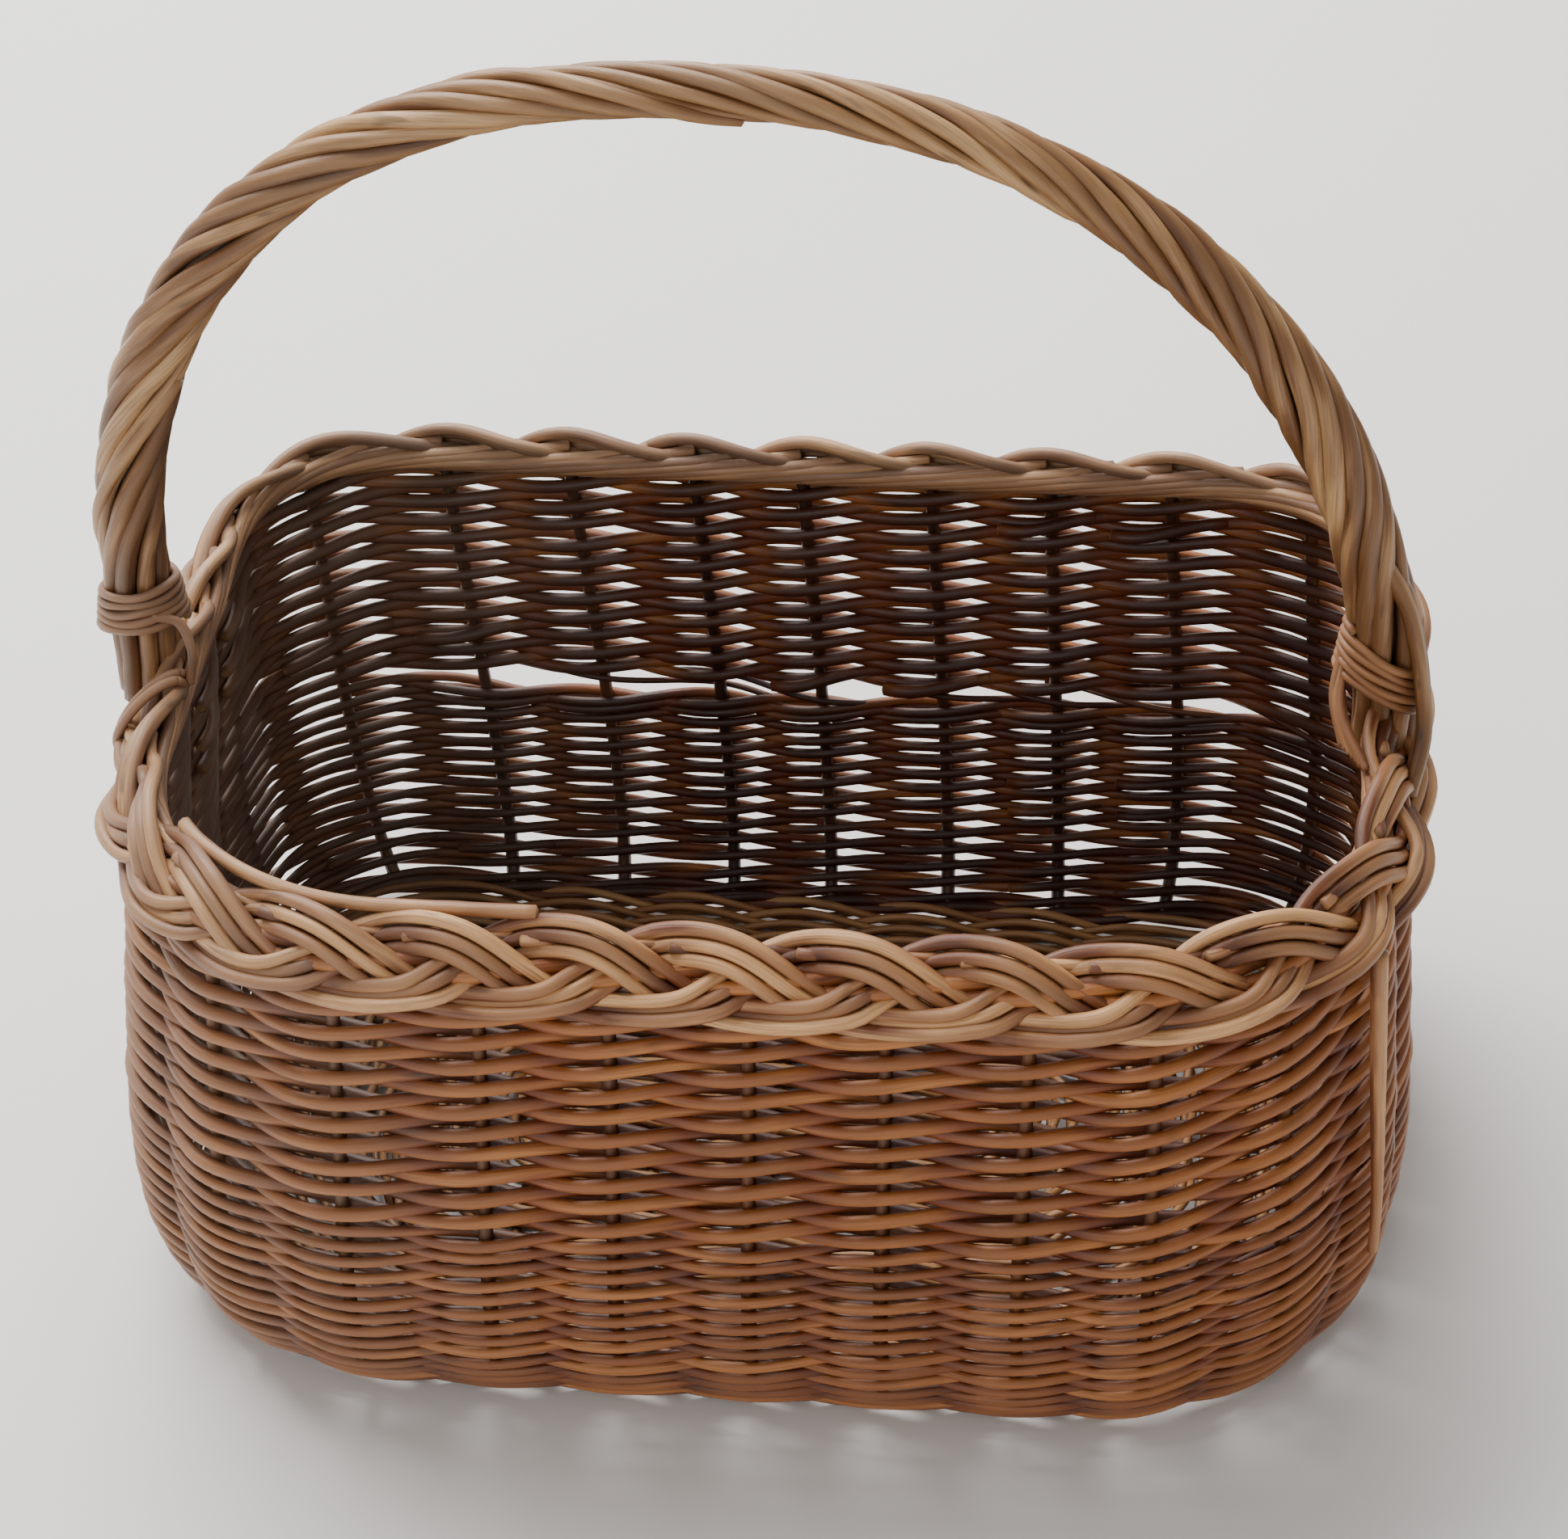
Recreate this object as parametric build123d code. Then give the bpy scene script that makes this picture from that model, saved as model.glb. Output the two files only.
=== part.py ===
from build123d import *
from math import atan2, cos, degrees, hypot, pi, radians, sin, sqrt, tan
import os

# Oval-cornered willow shopping basket with one fixed bow handle. Millimetres.
# +X along the basket's length, +Y towards its back, +Z up.
# The origin is the centre of the base, on the surface that the basket stands on.

# Body: the mid-surface of the woven wall, measured at the rim
RIM_HALF_LENGTH = 191.0
RIM_HALF_WIDTH = 131.0
RIM_CORNER_RADIUS = 88.0
RIM_HEIGHT = 204.0
WALL_THICKNESS = 12.0
BELLY = 14.0  # how far the wall would spread by floor level if it never curved in
TUCK_HEIGHT = 96.0  # height at which the wall starts to curve in under the basket
TUCK_DEPTH = 30.0  # how far that curve brings the wall in by floor level

# Weave: a band of thin rods below, a band of thicker rods above
BAND_JOIN_HEIGHT = 91.0
BAND_GAP = 0.4
WEAVE_TOP = 186.0
BASE_THICKNESS = 12.0
BASE_CLEARANCE = 0.5

# Upright stakes, spaced evenly round the rim
STAKE_COUNT = 28
STAKE_RADIUS = 2.5
STAKE_FOOT = 6.0
STAKE_TOP = 185.6

# Base sticks: crosswise ones run front to back below the lengthwise ones
STICK_RADIUS = 2.4
CROSSWISE_COUNT = 7
CROSSWISE_PITCH = 40.6
CROSSWISE_LENGTH = 206.0
CROSSWISE_HEIGHT = 3.5
LENGTHWISE_COUNT = 3
LENGTHWISE_PITCH = 42.0
LENGTHWISE_LENGTH = 320.0
LENGTHWISE_HEIGHT = 8.6

# Plaited border: three strands, stepping down and outwards from the rim
STRAND_RADIUS = 5.5
BORDER_STRANDS = {
    "border_strand_inner": (-5.0, 198.0),
    "border_strand_middle": (5.0, 192.0),
    "border_strand_outer": (13.6, 183.2),
}  # name: (outward from the rim's mid-surface, height of the strand's centre)

# Bow handle: seven rods, six laid round one core
BOW_HALF_SPAN = 193.0
BOW_FOOT_HEIGHT = 200.0
BOW_RISE = 200.0
BOW_SQUARENESS = 2.25  # 2 would be an ellipse
BOW_SHIFT = -4.0  # at the feet, along X
BOW_LEAN = -0.083  # further shift along X for each millimetre of rise
BOW_ROD_RADIUS = 3.4
BOW_ROD_PITCH = 7.1
BOW_POINTS = 15
BOW_START = 189.0  # the rods' ends are gripped inside the border

# Lashings that bind the handle's feet to the border
LASHING_INNER_RADIUS = 12.2
LASHING_OUTER_RADIUS = 14.8
LASHING_BOTTOM = 204.5
LASHING_HEIGHT = 16.0

# Loose rod end that lies on the outside of the wall at the front right corner
END_ROD_RADIUS = 2.8
END_ROD_TOP = 175.0
END_ROD_BOTTOM = 60.0
END_ROD_FROM_SIDE = 0.33  # where it lies round the corner: 0 is the right side, 1 the front


def inset(height):
    """How far the wall's mid-surface lies inside the rim's outline at a height."""
    spread = -BELLY * (1 - height / RIM_HEIGHT)
    drop = max(0.0, (TUCK_HEIGHT - height) / TUCK_HEIGHT)
    return spread + TUCK_DEPTH * (1 - sqrt(1 - drop * drop))


def outline(grow, height):
    """Rounded rectangle that stands `grow` outside the rim's outline, at a height."""
    sketch = RectangleRounded(
        2 * (RIM_HALF_LENGTH + grow), 2 * (RIM_HALF_WIDTH + grow), RIM_CORNER_RADIUS + grow
    )
    return Pos(0, 0, height) * sketch


def wall_skin(heights, side):
    """Solid inside the wall's outer (side 1) or inner (side -1) surface."""
    sections = [outline(side * WALL_THICKNESS / 2 - inset(max(z, 0.0)), z) for z in heights]
    return loft(sections, ruled=True)


def wall_band(heights):
    """Open-ended ring of woven wall between the first and last height."""
    overrun = [heights[0] - 1.0] + heights[1:-1] + [heights[-1] + 1.0]
    return wall_skin(heights, 1) - wall_skin(overrun, -1)


def arc_path(points):
    """Path through straight runs and the largest tangent arcs that fit them."""
    runs = [(b - a) for a, b in zip(points, points[1:])]
    radii = []
    for before, after in zip(runs, runs[1:]):
        half_turn = radians(before.get_angle(after)) / 2
        radii.append(0.45 * min(before.length, after.length) / tan(half_turn))
    return FilletPolyline(*points, radius=radii)


def rod(path, radius):
    """Round rod along a path."""
    end = Plane(origin=path @ 0, z_dir=path % 0)
    return sweep(end * Circle(radius), path=path)


def rim_spot(distance):
    """Point and outward angle on the rim, a distance round it from the middle of +X."""
    side = RIM_HALF_WIDTH - RIM_CORNER_RADIUS
    front = RIM_HALF_LENGTH - RIM_CORNER_RADIUS
    corner = RIM_CORNER_RADIUS * pi / 2
    quarter = side + corner + front
    turn, along = divmod(distance, quarter)
    if turn % 2:
        along = quarter - along
    if along < side:
        x, y, angle = RIM_HALF_LENGTH, along, 0.0
    elif along < side + corner:
        angle = (along - side) / RIM_CORNER_RADIUS
        x = front + RIM_CORNER_RADIUS * cos(angle)
        y = side + RIM_CORNER_RADIUS * sin(angle)
    else:
        x, y, angle = quarter - along, RIM_HALF_WIDTH, pi / 2
    flip_x = -1 if turn in (1, 2) else 1
    flip_y = -1 if turn in (2, 3) else 1
    return flip_x * x, flip_y * y, degrees(atan2(flip_y * sin(angle), flip_x * cos(angle)))


def upright(heights, radius, outward):
    """Rod that follows the wall through some heights, standing at the rim's +X middle."""
    points = [Vector(outward - inset(z), 0, z) for z in heights]
    return rod(arc_path(points), radius)


def place_on_rim(solid, distance):
    x, y, angle = rim_spot(distance)
    return Pos(x, y, 0) * Rot(0, 0, angle) * solid


def rim_length():
    straight = 4 * (RIM_HALF_LENGTH + RIM_HALF_WIDTH - 2 * RIM_CORNER_RADIUS)
    return straight + 2 * pi * RIM_CORNER_RADIUS


def make_stakes():
    stake = upright([STAKE_FOOT, 18.0, 38.0, 64.0, 110.0, STAKE_TOP], STAKE_RADIUS, 0.0)
    pitch = rim_length() / STAKE_COUNT
    return {f"stake_{i + 1:02d}": place_on_rim(stake, i * pitch) for i in range(STAKE_COUNT)}


def make_weave():
    low = [0.0, 3.0, 8.0, 16.0, 28.0, 45.0, 68.0, BAND_JOIN_HEIGHT - BAND_GAP / 2]
    high = [BAND_JOIN_HEIGHT + BAND_GAP / 2, 125.0, WEAVE_TOP]
    floor_grow = -inset(0.0) - WALL_THICKNESS / 2 - BASE_CLEARANCE
    return {
        "weave_base": extrude(outline(floor_grow, 0.0), BASE_THICKNESS),
        "weave_lower_band": wall_band(low),
        "weave_upper_band": wall_band(high),
    }


def make_sticks():
    sticks = {}
    cross = Rot(90, 0, 0) * Cylinder(STICK_RADIUS, CROSSWISE_LENGTH)
    for i in range(CROSSWISE_COUNT):
        x = (i - (CROSSWISE_COUNT - 1) / 2) * CROSSWISE_PITCH
        sticks[f"base_stick_crosswise_{i + 1}"] = Pos(x, 0, CROSSWISE_HEIGHT) * cross
    long = Rot(0, 90, 0) * Cylinder(STICK_RADIUS, LENGTHWISE_LENGTH)
    for i in range(LENGTHWISE_COUNT):
        y = (i - (LENGTHWISE_COUNT - 1) / 2) * LENGTHWISE_PITCH
        sticks[f"base_stick_lengthwise_{i + 1}"] = Pos(0, y, LENGTHWISE_HEIGHT) * long
    return sticks


def make_border():
    strands = {}
    for name, (outward, height) in BORDER_STRANDS.items():
        strands[name] = rod(outline(outward, height).wire(), STRAND_RADIUS)
    return strands


def bow_spot(angle):
    """Centre line of the bow at an angle of 0 (left foot) to pi (right foot)."""
    power = 2 / BOW_SQUARENESS
    across = abs(cos(angle)) ** power * (1 if cos(angle) < 0 else -1)
    rise = BOW_RISE * sin(angle) ** power
    return Vector(BOW_SHIFT + BOW_LEAN * rise + BOW_HALF_SPAN * across, 0, BOW_FOOT_HEIGHT + rise)


def bow_path(offset, sideways):
    """Path of one rod of the bow, set off outwards and sideways from the centre line."""
    step = pi / (BOW_POINTS + 1)
    points = []
    for i in range(1, BOW_POINTS + 1):
        ahead = bow_spot(i * step + 0.01) - bow_spot(i * step - 0.01)
        out = Vector(-ahead.Z, 0, ahead.X) / hypot(ahead.X, ahead.Z)
        points.append(bow_spot(i * step) + out * offset + Vector(0, sideways, 0))
    left = Vector(bow_spot(0).X - offset, sideways, BOW_START)
    right = Vector(bow_spot(pi).X + offset, sideways, BOW_START)
    return arc_path([left] + points + [right])


def make_handle():
    rods = {"handle_rod_core": rod(bow_path(0.0, 0.0), BOW_ROD_RADIUS)}
    for i in range(6):
        angle = i * pi / 3
        offset, sideways = BOW_ROD_PITCH * cos(angle), BOW_ROD_PITCH * sin(angle)
        rods[f"handle_rod_{i + 1}"] = rod(bow_path(offset, sideways), BOW_ROD_RADIUS)
    return rods


def make_lashings():
    """Short bands round both feet, centred on the straight legs of the bow."""
    ring = Cylinder(LASHING_OUTER_RADIUS, LASHING_HEIGHT) - Cylinder(LASHING_INNER_RADIUS, LASHING_HEIGHT)
    height = LASHING_BOTTOM + LASHING_HEIGHT / 2
    step = pi / (BOW_POINTS + 1)
    lashings = {}
    for side, foot, above in (("left", 0, step), ("right", pi, pi - step)):
        share = (height - BOW_START) / (bow_spot(above).Z - BOW_START)
        x = bow_spot(foot).X * (1 - share) + bow_spot(above).X * share
        lashings[f"handle_lashing_{side}"] = Pos(x, 0, height) * ring
    return lashings


def make_end_rod():
    heights = [END_ROD_BOTTOM, 80.0, 110.0, END_ROD_TOP]
    outward = WALL_THICKNESS / 2 + END_ROD_RADIUS + 0.3
    end_rod = upright(heights, END_ROD_RADIUS, outward)
    side = RIM_HALF_WIDTH - RIM_CORNER_RADIUS
    round_corner = side + END_ROD_FROM_SIDE * RIM_CORNER_RADIUS * pi / 2
    return {"loose_rod_end": place_on_rim(end_rod, rim_length() - round_corner)}


parts = {}
for group in (make_weave, make_sticks, make_stakes, make_border, make_handle, make_lashings, make_end_rod):
    parts.update(group())

os.makedirs("parts", exist_ok=True)
for name, solid in parts.items():
    solid.label = name
    export_step(solid, f"parts/{name}.step")
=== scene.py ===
"""Woven wicker basket with a plaited border and a twisted bow handle, as separate willow rods."""

import math

import bpy
import numpy as np
from mathutils import Matrix, Vector


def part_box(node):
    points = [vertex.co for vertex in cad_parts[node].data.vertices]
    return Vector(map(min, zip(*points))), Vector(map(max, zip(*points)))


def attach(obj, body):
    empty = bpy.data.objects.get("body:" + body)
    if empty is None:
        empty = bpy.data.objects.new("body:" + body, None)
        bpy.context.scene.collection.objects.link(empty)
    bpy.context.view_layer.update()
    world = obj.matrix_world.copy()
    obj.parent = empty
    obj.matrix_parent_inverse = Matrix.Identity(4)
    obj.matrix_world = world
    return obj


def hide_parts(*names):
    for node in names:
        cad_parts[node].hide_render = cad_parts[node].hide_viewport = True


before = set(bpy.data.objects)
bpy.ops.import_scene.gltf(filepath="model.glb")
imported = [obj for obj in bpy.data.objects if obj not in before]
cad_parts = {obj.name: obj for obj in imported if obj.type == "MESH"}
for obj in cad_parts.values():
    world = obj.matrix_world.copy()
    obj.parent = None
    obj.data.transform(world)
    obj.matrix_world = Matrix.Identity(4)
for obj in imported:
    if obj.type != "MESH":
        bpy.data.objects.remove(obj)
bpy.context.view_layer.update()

MM = 0.001

# The rim is a rounded rectangle whose back corners are fuller, and the wall hangs from it.
RIM_HALF_LENGTH = 191 * MM
RIM_HALF_WIDTH = 131 * MM
RIM_CORNER_RADIUS = 88 * MM
BACK_FULLNESS = 14 * MM
RIM_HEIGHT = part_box("border_strand_inner")[1].z

# The wall stands a little outside the rim, bellies outwards, and tucks in towards the base.
WALL_FOOT = 6.6 * MM
BELLY = 17 * MM
WALL_PROUD = 1.2 * MM
TUCK_HEIGHT = 96 * MM
TUCK_DEPTH = 30 * MM
END_FULLNESS = 6 * MM
FOOT_FULLNESS_SHARE = 0.9
BASE_SHIFT = 3.5 * MM

SIDE_RUN = RIM_HALF_WIDTH - RIM_CORNER_RADIUS
CORNER_RUN = RIM_CORNER_RADIUS * math.pi / 2
FRONT_RUN = RIM_HALF_LENGTH - RIM_CORNER_RADIUS
QUARTER = SIDE_RUN + CORNER_RUN + FRONT_RUN

STAKE_COUNT = 28
STAKE_PITCH = 4 * QUARTER / STAKE_COUNT
STAKE_RADIUS = 2.3 * MM
STAKE_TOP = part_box("stake_01")[1].z

# The stakes stray from even places: aside at the front, leaning at the back, most at its left.
FRONT_SHIFT = 6 * MM
BACK_LEAN = 9 * MM
LEFT_LEAN = 1.5
LEAN_HEIGHT = 150 * MM
STRAY_SIZE = 1.1 * MM

# Each rod thickens at its leaf joints and has its own place in the grain.
KNOT_SPACING = 83 * MM
GRAIN_OFFSET = 7.3

# Weave: a coarse band above a fine band, each row two rods twisted round the stakes.
COARSE_ROWS = 12
COARSE_PITCH = 8.42 * MM
COARSE_RADIUS = 2.25 * MM
COARSE_BOTTOM = 94.3 * MM
FINE_ROWS = 16
FINE_PITCH = 6.35 * MM
FINE_RADIUS = 1.75 * MM
FINE_TOP = 87.2 * MM
STEPS_PER_STAKE = 10

# The two bands hang together loosely at the back: the gap's height, and how it fades row by row.
JOIN_GAP = 6.5 * MM
JOIN_FADE = 0.45
JOIN_ROD_RADIUS = 1.2 * MM

# Base: rings of the same pairing over crossed sticks.
STICK_RADIUS = 2.3 * MM
BASE_WEAVER_RADIUS = 1.5 * MM
BASE_RING_PITCH = 6.6 * MM
BASE_INSET = 2 * MM
BASE_LAST_RING = 2.6 * MM
STICK_LIFT = 1.3 * MM
STICK_LAYERS = (("crosswise", 7, 1), ("lengthwise", 3, 0))

# Border: a three-strand plait on a slanted face, from the inner crest to the outer lower edge.
PLAIT_CREST = (-5 * MM, -1.5 * MM)
PLAIT_EDGE = (14.5 * MM, -28.5 * MM)
PLAIT_PERIOD = 3
PLAIT_ROD_RADIUS = 2.25 * MM
PLAIT_SKEW = 0.26
PLAIT_STEPS = 14

# Handle: a bow from the middle of one short side to the middle of the other.
BOW_HALF_SPAN = 195 * MM
BOW_FOOT = 200 * MM
BOW_RISE = 204.5 * MM
BOW_SQUARENESS = 2.25
BOW_SHIFT = -4 * MM
BOW_LEAN = -0.083
BOW_TWIST = -2 * math.pi / (150 * MM)
BOW_RODS = 8
BOW_NODES = 6
BOW_STEPS = 180
BOW_TAIL = 16 * MM


# Chance: each rod's own shade, and the waves that keep rods from being quite even.
RNG = np.random.default_rng(28)
TINT_SPREAD = 0.22 * 0.7
RIPPLES = (1, 2, 3, 5, 8, 13)


def unit(vectors):
    """The same vectors at length one."""
    return vectors / np.linalg.norm(vectors, axis=-1, keepdims=True)


def smooth(value, start, end):
    """0 before start, 1 after end, and an even slope between them."""
    share = np.clip((value - start) / (end - start), 0, 1)
    return share * share * (3 - 2 * share)


def ripple(places):
    """An irregular wave round the basket, about -1 to 1, whose ends meet."""
    total = np.zeros_like(places, dtype=float)
    for harmonic in RIPPLES:
        total += np.cos(2 * math.pi * harmonic * places / STAKE_COUNT + RNG.uniform(0, 2 * math.pi))
    return total / math.sqrt(2 * len(RIPPLES))


def rounded_loop(distance, half_length, half_width, radius):
    """Points and outward directions on a rounded rectangle, from the middle of +X, counterclockwise."""
    side = half_width - radius
    corner = radius * math.pi / 2
    quarter = side + corner + half_length - radius
    quadrant, rest = np.divmod(distance, quarter)
    quadrant = quadrant.astype(int) % 4
    rest = np.where(quadrant % 2 == 1, quarter - rest, rest)
    angle = np.clip((rest - side) / radius, 0, math.pi / 2)
    x = half_length - radius + radius * np.cos(angle) - np.maximum(rest - side - corner, 0)
    y = np.minimum(rest, side) + radius * np.sin(angle)
    flip_x = np.where((quadrant == 1) | (quadrant == 2), -1, 1)
    flip_y = np.where(quadrant >= 2, -1, 1)
    flat = np.zeros_like(x)
    spots = np.stack([x * flip_x, y * flip_y, flat], -1)
    outward = np.stack([np.cos(angle) * flip_x, np.sin(angle) * flip_y, flat], -1)
    bulge = BACK_FULLNESS * radius / RIM_CORNER_RADIUS * np.sin(2 * angle) ** 2 * (quadrant < 2)
    return spots + outward * bulge[..., None], outward


def profile(height):
    """How far the wall stands outside the rim at a height, and its slope there."""
    drop = np.clip((TUCK_HEIGHT - height) / (TUCK_HEIGHT - WALL_FOOT), 0, 0.995)
    level = np.sqrt(1 - drop * drop)
    offset = WALL_PROUD + BELLY * (1 - height / RIM_HEIGHT) - TUCK_DEPTH * (1 - level)
    slope = -BELLY / RIM_HEIGHT + TUCK_DEPTH * drop / level / (TUCK_HEIGHT - WALL_FOOT)
    return offset, slope


def drift(place, height):
    """How far the stakes stray from even places round the wall."""
    facing = np.sin(2 * math.pi * place / STAKE_COUNT)
    front = FRONT_SHIFT * np.maximum(-facing, 0)
    left = np.maximum(-np.cos(2 * math.pi * place / STAKE_COUNT), 0)
    lean = BACK_LEAN * (1 + LEFT_LEAN * left) * np.maximum(facing, 0)
    back = lean * np.clip(1 - height / LEAN_HEIGHT, -0.3, 1)
    return front - back + STRAY(place) * (0.6 + 0.4 * height / RIM_HEIGHT)


def stray_wave():
    """A fixed irregular wave for the stakes' places."""
    phases = RNG.uniform(0, 2 * math.pi, 4)
    harmonics = (3, 5, 9, 12)

    def wave(place):
        angle = 2 * math.pi * np.asarray(place, float) / STAKE_COUNT
        return STRAY_SIZE * sum(np.cos(h * angle + p) for h, p in zip(harmonics, phases))

    return wave


STRAY = stray_wave()
JOIN_WAVE = stray_wave()


def wall(place, height, out=0.0, up=0.0):
    """Points at a place in stake pitches and a height, moved out of the wall or up along it."""
    place = np.asarray(place, float)
    height = np.broadcast_to(height, place.shape)
    spots, outward = rounded_loop(
        STAKE_PITCH * place + drift(place, height), RIM_HALF_LENGTH, RIM_HALF_WIDTH, RIM_CORNER_RADIUS
    )
    offset, slope = profile(height)
    foot = np.clip(1 - height / TUCK_HEIGHT, 0, 1)
    offset = offset + END_FULLNESS * outward[..., 0] ** 2 * foot ** 1.5
    length = np.sqrt(1 + slope * slope)
    sideways = offset + (out + up * slope) / length
    rise = height + (up - out * slope) / length
    points = spots + outward * sideways[..., None]
    points[..., 0] -= BASE_SHIFT * (1 - height / RIM_HEIGHT)
    points[..., 2] = rise
    facing = outward.copy()
    facing[..., 2] = -slope
    return points, unit(facing)


def knotted_reach(radius, along, turn, tint):
    """How far a rod's skin lies from its middle: slightly oval, and thicker at its leaf joints."""
    knots = np.maximum(np.cos(along * 2 * math.pi / KNOT_SPACING + tint * 40) - 0.93, 0) * 0.9
    oval = 1 + 0.04 * np.cos(2 * turn[None, :] + along[:, None] * 60 + tint * 9) + knots[:, None]
    return radius[:, None] * oval


def tube_faces(count, sides):
    """Four-sided faces that join each ring of a tube to the next."""
    faces = []
    for i in range(count - 1):
        for j in range(sides):
            k = (j + 1) % sides
            faces.append((i * sides + j, i * sides + k, (i + 1) * sides + k, (i + 1) * sides + j))
    return faces


def rod(path, radius, face, tint, light_and_wear=0.5, sides=8, side_shading=0.35):
    """One willow rod round a path. Its face direction is the side that shows most. Its look holds a
    level of painted light and wear, and its face side is painted lighter and its far side darker, as
    painted shade.
    """
    radius = np.broadcast_to(radius, len(path))
    light_and_wear = np.broadcast_to(light_and_wear, len(path))
    tangent = unit(np.gradient(path, axis=0))
    side = unit(np.cross(tangent, np.broadcast_to(face, path.shape)))
    lift = np.cross(side, tangent)
    steps = np.linalg.norm(np.diff(path, axis=0), axis=1)
    along = np.concatenate([[0], np.cumsum(steps)])
    turn = np.linspace(0, 2 * math.pi, sides, endpoint=False)
    aside, above = np.cos(turn), np.sin(turn)
    ring = aside[None, :, None] * side[:, None, :] + above[None, :, None] * lift[:, None, :]
    reach = knotted_reach(radius, along, turn, tint)
    points = (path[:, None, :] + reach[..., None] * ring).reshape(-1, 3)
    seed = tint * GRAIN_OFFSET
    grain = np.stack([
        radius[:, None] * aside[None, :] + seed,
        radius[:, None] * above[None, :] + seed,
        np.repeat(along[:, None] + seed, sides, axis=1),
    ], -1).reshape(-1, 3)
    # Painted light: the face side is painted lighter and the far side darker as shade, and a low level
    # paints the whole rod darker.
    shade = np.clip(light_and_wear[:, None] + side_shading * above[None, :], 0, 1)
    look = np.stack([np.full_like(shade, tint), shade, np.zeros_like(shade)], -1).reshape(-1, 3)
    return cap_ends(points, tube_faces(len(path), sides), grain, look, sides, tangent)


def cap_ends(points, faces, grain, look, sides, tangent):
    """Closes both ends of a rod with slightly domed cut faces."""
    last = len(points) - sides
    start = len(points)
    for base, push in ((0, -tangent[0]), (last, tangent[-1])):
        ring = points[base:base + sides]
        middle = ring.mean(axis=0)
        width = np.linalg.norm(ring[0] - middle)
        dome = middle + (ring - middle) * 0.55 + push * width * 0.28
        points = np.vstack([points, dome])
        grain = np.vstack([grain, grain[base:base + sides]])
        cut = look[base:base + sides].copy()
        cut[:, 2] = 1
        look = np.vstack([look, cut])
        first = len(points) - sides
        for j in range(sides):
            k = (j + 1) % sides
            quad = (base + j, base + k, first + k, first + j)
            faces.append(quad if base else quad[::-1])
        lid = tuple(range(first, first + sides))
        faces.append(lid if base else lid[::-1])
    return points, faces, grain, look


def piece(name, rods, material, nodes):
    """One object made of rods, which rides on the root and stands for CAD nodes."""
    start = 0
    faces = []
    for points, rod_faces, _, _ in rods:
        faces.extend(tuple(i + start for i in face) for face in rod_faces)
        start += len(points)
    mesh = bpy.data.meshes.new(name)
    mesh.from_pydata(np.vstack([r[0] for r in rods]).tolist(), [], faces)
    for label, column in (("grain", 2), ("look", 3)):
        layer = mesh.attributes.new(label, "FLOAT_VECTOR", "POINT")
        layer.data.foreach_set("vector", np.vstack([r[column] for r in rods]).astype(np.float32).ravel())
    mesh.shade_smooth()
    mesh.materials.append(material)
    made = bpy.data.objects.new(name, mesh)
    bpy.context.scene.collection.objects.link(made)
    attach(made, "root")
    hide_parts(*nodes)


def add(tree, kind, settings=(), **values):
    """A shader node with settings, and its inputs set or linked by name."""
    node = tree.nodes.new(kind)
    for key, value in dict(settings).items():
        setattr(node, key, value)
    for key, value in values.items():
        socket = node.inputs[int(key[1:])] if key[1:].isdigit() else node.inputs[key.replace("_", " ")]
        if isinstance(value, bpy.types.NodeSocket):
            tree.links.new(value, socket)
        else:
            socket.default_value = value
    return node


def blend_colours(tree, factor, first, second):
    """Mixes two colours by a factor."""
    node = add(tree, "ShaderNodeMix", {"data_type": "RGBA"})
    for index, value in ((0, factor), (6, first), (7, second)):
        if isinstance(value, bpy.types.NodeSocket):
            tree.links.new(value, node.inputs[index])
        else:
            node.inputs[index].default_value = value
    return node.outputs[2]


def spread(tree, value, low, high, to_low=0.0, to_high=1.0):
    """Maps a value from one range to another, held inside it."""
    node = add(tree, "ShaderNodeMapRange", {}, _0=value, _1=low, _2=high, _3=to_low, _4=to_high)
    return node.outputs[0]


def noise(tree, vector, scale, detail=3.0, rough=0.55):
    """Noise with its own scale for each direction, in cycles per metre."""
    moved = add(tree, "ShaderNodeVectorMath", {"operation": "MULTIPLY"}, _0=vector, _1=scale)
    made = add(tree, "ShaderNodeTexNoise", {}, Vector=moved.outputs[0], Scale=1.0, Detail=detail,
               Roughness=rough)
    return made.outputs[0]


def rgb(red, green, blue):
    """A colour from the usual 0 to 255 screen values."""
    return tuple((c / 255) ** 2.2 for c in (red, green, blue)) + (1,)


# Painted light: the paler grey that the basket's left end and back are blended towards.
PAINTED_LIGHT_GREY = rgb(150, 126, 104)
PITH = rgb(150, 118, 82)

# Noise across and along a rod, in cycles per metre.
STREAKS = (1500, 1500, 45)
BLOTCHES = (140, 140, 22)
SCARS = (260, 260, 60)
FIBRES = (5200, 5200, 160)


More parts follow.
